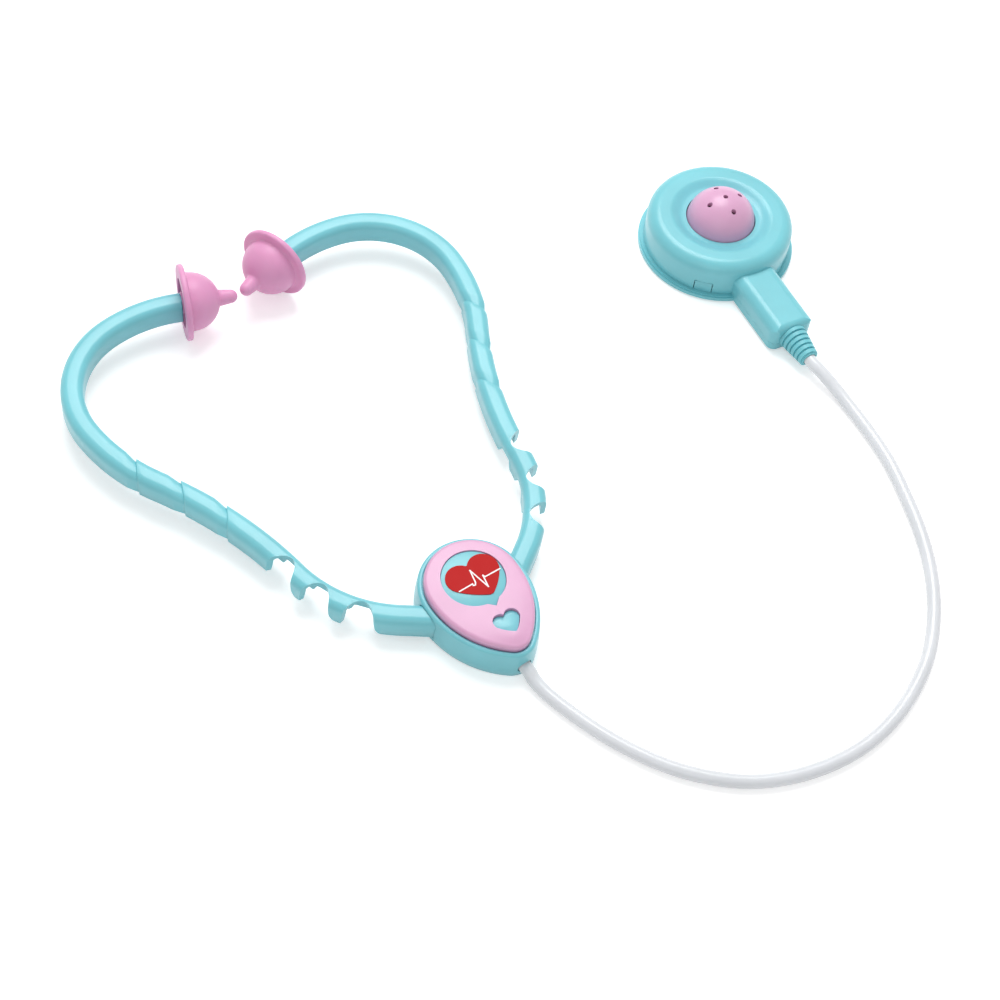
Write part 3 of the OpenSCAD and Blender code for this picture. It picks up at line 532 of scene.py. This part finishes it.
rim = [drop_loop(e, z) for e, z in WALL]
rim += round_loops(RIM_OUT, RIM_SHOWN, RIM_ROUND, RIM_STEPS)
rim += [drop_loop(e, z) for e, z in RIM_INSIDE]
housing = skin("housing_shell", rim, turquoise)
half, top = ARM_W / 2 + MOUTH_GAP, ARM_TOP + MOUTH_GAP
mouth = [(half, MOUTH_LOW)]
mouth += arc((half - ARM_ROUND, top - ARM_ROUND), ARM_ROUND, 0, 90, MOUTH_STEPS)
mouth += mirrored(mouth)
for s in (1, -1):
    cut(housing, skin("mouth", [[on_arm(s, Vector(STUB_START), START_ANGLE, x, z, d)
                                 for x, z in mouth] for d in MOUTH_RUN], turquoise, angle=None))
cut(housing, skin("bore", [[headset(x, HOUSING_TIP_Y + d, HOUSING_BORE_Z + z)
                            for x, z in circle(BORE_R, BORE_SIDES)] for d in BORE_RUN],
                  turquoise, angle=None))
shade(housing)
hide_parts("housing_front")
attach(housing, "headset")

# the raised fields that show through the plate's windows
FIELD_GAP, FIELD_EDGE = 0.12, 0.12
FIELD_LOW, FIELD_TOP, SMALL_FIELD_TOP = SEAT_Z - 0.3, PLATE_TOP - 0.8, PLATE_TOP - 1.1

small_heart = (SMALL_HEART_W, SMALL_HEART_AT, SMALL_HEART_TIP)
for p in (prism("window_floor", window(-FIELD_GAP), FIELD_LOW, FIELD_TOP),
          prism("small_window_floor", heart(*small_heart, -FIELD_GAP), FIELD_LOW, SMALL_FIELD_TOP)):
    soften(p, FIELD_EDGE)
    shade(p)
    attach(p, "headset")

PLATE_EDGE_R, PLATE_STEPS, CROWN_STEPS, WINDOW_EDGE = 1.1, 6, 25, 0.22
CUT_LOW, CUT_TOP = SEAT_Z - 2, POCKET_Z + 6

plate_loops = [drop_loop(0.0, SEAT_Z)]
plate_loops += round_loops(0.0, PLATE_TOP - PLATE_CROWN, PLATE_EDGE_R, PLATE_STEPS)
plate_loops += [drop_loop(-PLATE_EDGE_R, PLATE_TOP - PLATE_CROWN * (1 - t) ** 2, t)
                for t in steps(0, 1, CROWN_STEPS)[:-1]]
plate = skin("crowned_plate", plate_loops, pink)
cut(plate, prism("window_cut", window(), CUT_LOW, CUT_TOP))
cut(plate, prism("heart_cut", heart(*small_heart), CUT_LOW, CUT_TOP))
soften(plate, WINDOW_EDGE, segments=3, angle=50)
repaint(plate, pink)
shade(plate)
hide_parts("face_plate")
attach(plate, "headset")

HEART_LEAN = 1.2
BADGE_LOW, BADGE_TOP, BADGE_GAP = PLATE_TOP - 0.81, PLATE_TOP - 0.55, 0.2

badge = prism("heart_sticker", heart(HEART_W, HEART_AT, HEART_TIP, lean=HEART_LEAN),
              BADGE_LOW, BADGE_TOP)
cut(badge, prism("badge_edge", window(-BADGE_GAP), POCKET_Z, CUT_TOP), "INTERSECT")
repaint(badge, heart_red)
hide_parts("heart_badge")
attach(badge, "headset")

# the pulse line printed across the heart; each stroke is a little thicker than the last, so that
# no two tops lie in one plane where they lap
PULSE = ((-5.5, 13.1), (-1.0, 13.2), (-1.1, 12.7), (-0.5, 12.5), (0.0, 13.2), (0.9, 17.2),
         (2.3, 10.2), (3.1, 14.0), (3.4, 13.3), (8.5, 13.3))
PULSE_W, PULSE_LAP, PULSE_SUNK = 0.38, 0.18, 0.01
PULSE_T, PULSE_STEP = 0.06, 0.002

pulse_points, pulse_faces = [], []
for i, (p, q) in enumerate(zip(PULSE, PULSE[1:])):
    ahead = (Vector(q) - Vector(p)).normalized()
    aside = Vector((-ahead.y, ahead.x)) * PULSE_W / 2
    low = BADGE_TOP - PULSE_SUNK
    high = low + PULSE_T + i * PULSE_STEP
    first = len(pulse_points)
    pulse_faces += [tuple(first + v for v in f) for f in loops_faces(2, 4)]
    for e in (Vector(p) - ahead * PULSE_LAP, Vector(q) + ahead * PULSE_LAP):
        pulse_points += [headset(*(e + aside), low), headset(*(e - aside), low),
                         headset(*(e - aside), high), headset(*(e + aside), high)]
pulse = mesh_piece("pulse_line", pulse_points, pulse_faces, white_ink, angle=None)
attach(pulse, "headset")

# ---------------------------------------------------------------- arms


def bend_length(b):
    return b[2] * math.radians(abs(b[3]))


def arm_spot(s):
    """Place and heading at distance s along the arm, after the notched bend."""
    for i, b in enumerate(arm_bends):
        if s <= bend_length(b) or i == len(arm_bends) - 1:
            t = math.copysign(math.degrees(s / b[2]), b[3])
            return bend_point(b, t), b[1] + t
        s -= bend_length(b)


LOW_LENGTH = STUB_LENGTH + bend_length(notch_bend)


def low_spot(s):
    """Place and heading at distance s from the stub's start."""
    if s <= STUB_LENGTH:
        return Vector(STUB_START) + s * turned(START_ANGLE), START_ANGLE
    if s <= LOW_LENGTH:
        t = math.degrees((s - STUB_LENGTH) / NOTCH_BEND_R)
        return bend_point(notch_bend, t), START_ANGLE + t
    return arm_spot(s - LOW_LENGTH)


def ease(t):
    return t * t * (3 - 2 * t)


ARM_LENGTH = sum(bend_length(b) for b in arm_bends)
BAND_SLOPE = math.tan(math.radians(BAND_SLANT))
# distance from a band's start and depth, over its raised edge
BAND_EDGE = ((-0.25, 0), (-0.06, 0.04), (0.02, 0.14), (0.08, BAND_DEPTH - 0.08), (0.2, BAND_DEPTH))
BAND_GAP = BAND_PITCH - BAND_W
# the slant is full from this far before the first band, and fades over this far after the last
SLANTED_BEFORE, SLANT_OUT = 4, 14
BANDS, EASE_STEPS, GAP_STEPS, BAND_STEPS, FADE_STEPS, LONG_STEPS = 3, 14, 5, 4, 9, 70
END_LENGTH, END_STEP, END_EDGE = 3.2, 0.05, 0.3


def arm_rows():
    """(distance, slope, depth, channel height) of each ring of the long arm."""
    rows = [(NOTCH_W, 0, 0)]
    rows += [(NOTCH_W + (BAND_START - SLANTED_BEFORE - NOTCH_W) * t, BAND_SLOPE * ease(t), 0)
             for t in steps(0, 1, EASE_STEPS)]
    for i in range(BANDS):
        s = BAND_START + i * BAND_PITCH
        if i:
            rows += [(d, BAND_SLOPE, 0) for d in steps(s - BAND_GAP, s, GAP_STEPS)[:-1]]
        rows += [(s + d, BAND_SLOPE, depth) for d, depth in BAND_EDGE]
        rows += [(s + BAND_W * t, BAND_SLOPE, BAND_DEPTH * (1 - t))
                 for t in steps(0, 1, BAND_STEPS)]
    s += BAND_W
    rows += [(s + SLANT_OUT * t, BAND_SLOPE * (1 - ease(t)), 0)
             for t in steps(0, 1, FADE_STEPS)]
    end = ARM_LENGTH - END_LENGTH
    rows += [(d, 0, 0) for d in steps(s + SLANT_OUT, end, LONG_STEPS)]
    return [(*row, CHANNEL_H) for row in rows] + [
        (end + END_STEP, 0, 0, 0.0), (ARM_LENGTH - END_EDGE, 0, 0, 0.0),
        (ARM_LENGTH, 0, END_EDGE, 0.0)]


# the small edge along the arm's underside, and the draft, its share of the height and the corner
# of its channel
EDGE_W, EDGE_H, CORNER_STEPS = 0.15, 0.2, 9
CHANNEL_DRAFT, DRAFT_SHARE, CHANNEL_CORNER = 0.3, 0.9, 0.9


def arm_section(inset, channel):
    """The arm's section, as (across, height): the outside and then the channel, open below."""
    half, top, r = ARM_W / 2 - inset, ARM_TOP - inset, ARM_ROUND
    inner = ARM_W / 2 - ARM_WALL
    outside = [(half - EDGE_W, ARM_Z), (half, ARM_Z + EDGE_H)]
    outside += arc((half - r, top - r), r, 0, 90, CORNER_STEPS)
    inside = [(-inner, ARM_Z), (-inner + CHANNEL_DRAFT, ARM_Z + channel * DRAFT_SHARE),
              (-inner + CHANNEL_CORNER, ARM_Z + channel)]
    return outside + mirrored(outside) + inside + mirrored(inside)


HALF_NOTCH = NOTCH_W / 2
NOTCHES = (STUB_LENGTH + NOTCH_BEND_R * math.radians(FIRST_NOTCH),
           STUB_LENGTH + NOTCH_BEND_R * math.radians(FIRST_NOTCH + NOTCH_PITCH),
           LOW_LENGTH + HALF_NOTCH)
SPAN_STEP = 0.6
STRIP_X = -ARM_W / 2 + 1.75
STRIP_H = 3.9
# the bite's outline is along = BITE * sqrt(across), from the strip past the arm's outer side
BITE, BITE_REACH, BITE_STEPS, FLARE_RATE = 2.1, 6.6, 16, 1.6
# height over the arm's underside, and how far the bite flares there, before and after the notch
BITE_LEVELS = ((ARM_H + 1, 0, 0), (4.5, 0.1, 0.1), (2.4, 0.3, 0.25), (1.5, 0.6, 0.35),
               (0.8, 1.1, 0.42), (0.3, 1.7, 0.5), (-0.6, 3.2, 0.6))
# the cut under the strip, from beside the arm's inner side: height and half its length
FOOT_X = -5
FOOT_LEVELS = ((3.0, 2.75), (2.2, 3.0), (1.3, 3.3), (0.6, 3.7), (-0.6, 4.6))


def span(name, s, start, end):
    """A length of the arm between two distances from the stub's start."""
    count = round((end - start) / SPAN_STEP)
    loops = []
    for d in [start] + steps(start, end, count):
        at, h = low_spot(d)
        loops.append([on_arm(s, at, h, x, z) for x, z in arm_section(0, CHANNEL_H)])
    return skin(name, loops, turquoise)


def bite(obj, s, i):
    """Cuts notch i: a round-ended bite from the outer side that widens towards the underside."""
    at, h = low_spot(NOTCHES[i])
    loops = []
    for level, before, after in BITE_LEVELS:
        ring = []
        for k in range(-BITE_STEPS, BITE_STEPS + 1):
            u = k / BITE_STEPS
            wide = min(1.0, abs(u) * FLARE_RATE)
            along = BITE * math.sqrt(BITE_REACH) * u + (after if u > 0 else -before) * wide
            ring.append(on_arm(s, at, h, STRIP_X + BITE_REACH * u * u, ARM_Z + level, along))
        loops.append(ring)
    cut(obj, skin("bite", loops, turquoise))
    cut(obj, skin("foot_cut", [[on_arm(s, at, h, x, ARM_Z + level, along) for along, x in (
        (-half, FOOT_X), (half, FOOT_X), (half, STRIP_X), (-half, STRIP_X))]
        for level, half in FOOT_LEVELS], turquoise))


# the stub and the ribs: where each starts and ends, and the notches that cut into it
LENGTHS = (("stub", 0.0, NOTCHES[0] - HALF_NOTCH, (0,)),
           ("rib_1", NOTCHES[0] + HALF_NOTCH, NOTCHES[1] - HALF_NOTCH, (0, 1)),
           ("rib_2", NOTCHES[1] + HALF_NOTCH, NOTCHES[2] - HALF_NOTCH, (1, 2)))
PEG_ROOT, PEG_SIDES = 1.0, 32
ARM_SHARP = 38

for side, s in SIDES:
    loops = []
    for distance, slope, inset, channel in arm_rows():
        ring = []
        for x, z in arm_section(inset, channel):
            at, h = arm_spot(distance - x * slope)
            ring.append(on_arm(s, at, h, x, z))
        loops.append(ring)
    arm = skin(side + "_arm_long", loops, turquoise)
    cut(arm, skin("peg", [[on_arm(s, ear_at, ear_heading, x, PEG_Z + z, d)
                           for x, z in circle(PEG_R, PEG_SIDES)]
                          for d in (-PEG_ROOT, PEG_LENGTH)], turquoise, angle=None), "UNION")
    bite(arm, s, 2)
    moulded = [(arm, side + "_arm", side + "_arm")]
    for part, start, end, beside in LENGTHS:
        node_name = side + "_" + part
        piece = span(node_name + "_moulded", s, start, end)
        for i in beside:
            bite(piece, s, i)
        moulded.append((piece, node_name, "headset" if part == "stub" else node_name))
    for piece, node_name, body in moulded:
        repaint(piece, turquoise)
        shade(piece, ARM_SHARP)
        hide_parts(node_name)
        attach(piece, body)

# ---------------------------------------------------------------- living hinges

STRIP_LAP, STRIP_STEPS, STRIP_TOP_STEPS = 0.04, 16, 10
STRIP_EDGE_W, STRIP_EDGE_H, STRIP_INNER_EDGE = 0.2, 0.25, 0.35
# the strip gets deeper towards its two roots
ROOT_DEPTH, ROOT_POWER = 0.5, 4


def strip_section(along):
    """The strip beside a notch: the arm's inner wall and what the bite leaves of its top."""
    reach = STRIP_X + (along / BITE) ** 2
    wall, inner, under = -ARM_W / 2, -ARM_W / 2 + ARM_WALL, ARM_TOP - ARM_WALL
    r = ARM_ROUND
    mid = wall + r
    last = 90 if reach >= mid else math.degrees(math.acos((reach - mid) / r))
    low = ARM_TOP - STRIP_H - ROOT_DEPTH * (abs(along) / HALF_NOTCH) ** ROOT_POWER
    edge = low + STRIP_EDGE_H
    out = [(wall + STRIP_EDGE_W, low), (wall, edge)]
    out += arc((mid, ARM_TOP - r), r, 180, last, STRIP_TOP_STEPS)
    out += [(reach, out[-1][1]), (reach, under)]
    out += [(inner + STRIP_INNER_EDGE, under), (inner, under - STRIP_INNER_EDGE), (inner, edge),
            (inner - STRIP_EDGE_W, low)]
    return out


for side, s in SIDES:
    for i in (1, 2, 3):
        notch = NOTCHES[i - 1]
        lap = HALF_NOTCH + STRIP_LAP
        loops = []
        for along in [-lap] + steps(-lap, lap, STRIP_STEPS):
            at, h = low_spot(notch + along)
            loops.append([on_arm(s, at, h, x, z) for x, z in strip_section(along)])
        strip = skin(f"{side}_web_{i}_strip", loops, turquoise, angle=ARM_SHARP)
        first, last = [on_arm(s, *low_spot(notch + d), 0, ARM_Z) for d in (-HALF_NOTCH, HALF_NOTCH)]
        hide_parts(f"{side}_web_{i}")
        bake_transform(strip)

# ---------------------------------------------------------------- ear tips, turned on the arm's end

EAR_BACK, EAR_HOLLOW_R, RIM_EDGE_R, RIM_EDGE_STEPS, BACK_EDGE = 0.03, 7.7, 0.65, 5, 0.05
# first and last angle, from where it is widest, and steps of each arc
BELL_ARC, NUB_ARC, HOLLOW_ARC = (3, 70, 24), (0, 87, 8), (0, 62, 12)
# along the axis and outward, from the rim's face onto the bell and from the bell onto the nub
RIM_FILLET = ((0, 1.0), (0.1, 0.55), (0.4, 0.15))
NUB_FILLET = ((-0.38, 0.45), (-0.1, 0.25), (1.0, 0.12))
NUB_TIP_R = EAR_NUB_R - 0.2
SOCKET_L, SOCKET_R, SOCKET_OUT_R, SOCKET_BACK, AXIS_R = 8.3, 2.25, 3.4, 0.05, 0.02
EAR_SIDES, EAR_SHARP = 72, 40


def swing(mid, r, a0, a1, n):
    """An arc of a lathe's profile: (distance along the axis, radius)."""
    return [(d, out) for out, d in arc((mid[1], mid[0]), r, a0, a1, n)]


ball = EAR_BELL_L - EAR_BELL_R
inner_ball = EAR_BELL_R - EAR_WALL
edge_r = EAR_RIM_R - RIM_EDGE_R
profile = [(EAR_BACK, EAR_HOLLOW_R), (EAR_BACK, edge_r - BACK_EDGE)]
profile += swing((EAR_BACK + RIM_EDGE_R, edge_r), RIM_EDGE_R, -90, 0, RIM_EDGE_STEPS)
profile += swing((EAR_RIM_T - RIM_EDGE_R, edge_r), RIM_EDGE_R, 0, 90, RIM_EDGE_STEPS)
profile += [(EAR_RIM_T + d, EAR_BELL_R + out) for d, out in RIM_FILLET]
profile += swing((ball, 0), EAR_BELL_R, *BELL_ARC)
profile += [(EAR_BELL_L + d, EAR_NUB_R + out) for d, out in NUB_FILLET]
profile += swing((EAR_BELL_L + EAR_NUB_L - NUB_TIP_R, 0), NUB_TIP_R, *NUB_ARC)
# back inside: the peg's socket and the hollow of the bell
profile += [(SOCKET_L, AXIS_R), (SOCKET_L, SOCKET_R), (SOCKET_BACK, SOCKET_R),
            (SOCKET_BACK, SOCKET_OUT_R),
            (ball + math.sqrt(inner_ball ** 2 - SOCKET_OUT_R ** 2), SOCKET_OUT_R)]
profile += reversed(swing((ball, 0), inner_ball, *HOLLOW_ARC))

for side, s in SIDES:
    loops = [[on_arm(s, ear_at, ear_heading, r * x, PEG_Z + r * z, d) for d, r in profile]
             for x, z in circle(1, EAR_SIDES)]
    tip = skin(side + "_ear_tip_soft", loops, soft_pink, angle=EAR_SHARP, around=True)
    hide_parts(side + "_ear_tip")
    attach(tip, side + "_arm")

# ---------------------------------------------------------------- bellows

bellows = nodes["squeaker_bellows"].copy()
bellows.data = nodes["squeaker_bellows"].data.copy()
bellows.name = "folding_bellows"
for key in list(bellows.keys()):
    del bellows[key]
bellows.parent = None
bellows.matrix_world = Matrix.Identity(4)
bpy.context.scene.collection.objects.link(bellows)
paint(bellows, bellows_rubber)
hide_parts("squeaker_bellows")
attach(bellows, "chest_piece")
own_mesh(bellows)

# ---------------------------------------------------------------- stage and light

FLOOR_HALF = 4
FLOOR_GLOW, SKY_LIGHT, SKY_SEEN = 0.4, 0.55, 1.0
LIGHT_AIM = Vector((-0.09, -0.04, 0))
# name, place, diameter and power
LIGHTS = (("soft_top", (0.15, 0.4, 0.9), 0.7, 7.4),
          ("soft_front", (-0.8, -0.7, 0.7), 0.8, 1.2))


def seen(tree):
    """1 for what the camera sees, straight or in gloss and glass, else 0."""
    rays = tree.nodes.new("ShaderNodeLightPath")
    last = rays.outputs["Is Camera Ray"]
    for name in ("Is Glossy Ray", "Is Transmission Ray"):
        either = tree.nodes.new("ShaderNodeMath")
        either.operation = "MAXIMUM"
        tree.links.new(last, either.inputs[0])
        tree.links.new(rays.outputs[name], either.inputs[1])
        last = either.outputs[0]
    return last


def switched(tree, target, off, on):
    """Sets a strength to one value for seen rays and to another for the rest."""
    switch = tree.nodes.new("ShaderNodeMapRange")
    set_inputs(switch, {"To Min": off, "To Max": on})
    tree.links.new(seen(tree), switch.inputs["Value"])
    tree.links.new(switch.outputs["Result"], target)


corners = [(x * FLOOR_HALF, y * FLOOR_HALF, 0) for x, y in ((-1, -1), (1, -1), (1, 1), (-1, 1))]
floor = in_scene("floor", bpy.data.meshes.new("floor"))
floor.data.from_pydata(corners, [], [(0, 1, 2, 3)])
white = bpy.data.materials.new("floor_white")
white.use_nodes = True
shader = white.node_tree.nodes["Principled BSDF"]
set_inputs(shader, {"Base Color": (0.9, 0.9, 0.9, 1), "Emission Color": (1, 1, 1, 1),
                    "Roughness": 0.6, "Specular IOR Level": 0.1})
switched(white.node_tree, shader.inputs["Emission Strength"], 0.0, FLOOR_GLOW)
floor.data.materials.append(white)

world = bpy.data.worlds.new("studio")
bpy.context.scene.world = world
world.use_nodes = True
sky = world.node_tree.nodes["Background"]
set_inputs(sky, {"Color": (1, 1, 1, 1)})
switched(world.node_tree, sky.inputs["Strength"], SKY_LIGHT, SKY_SEEN)

for name, at, size, power in LIGHTS:
    light = in_scene(name, bpy.data.lights.new(name, "AREA"))
    light.data.shape = "DISK"
    light.data.size = size
    light.data.energy = power
    light.location = at
    light.rotation_euler = (LIGHT_AIM - Vector(at)).to_track_quat("-Z", "Y").to_euler()

bpy.context.scene.view_settings.view_transform = "Standard"
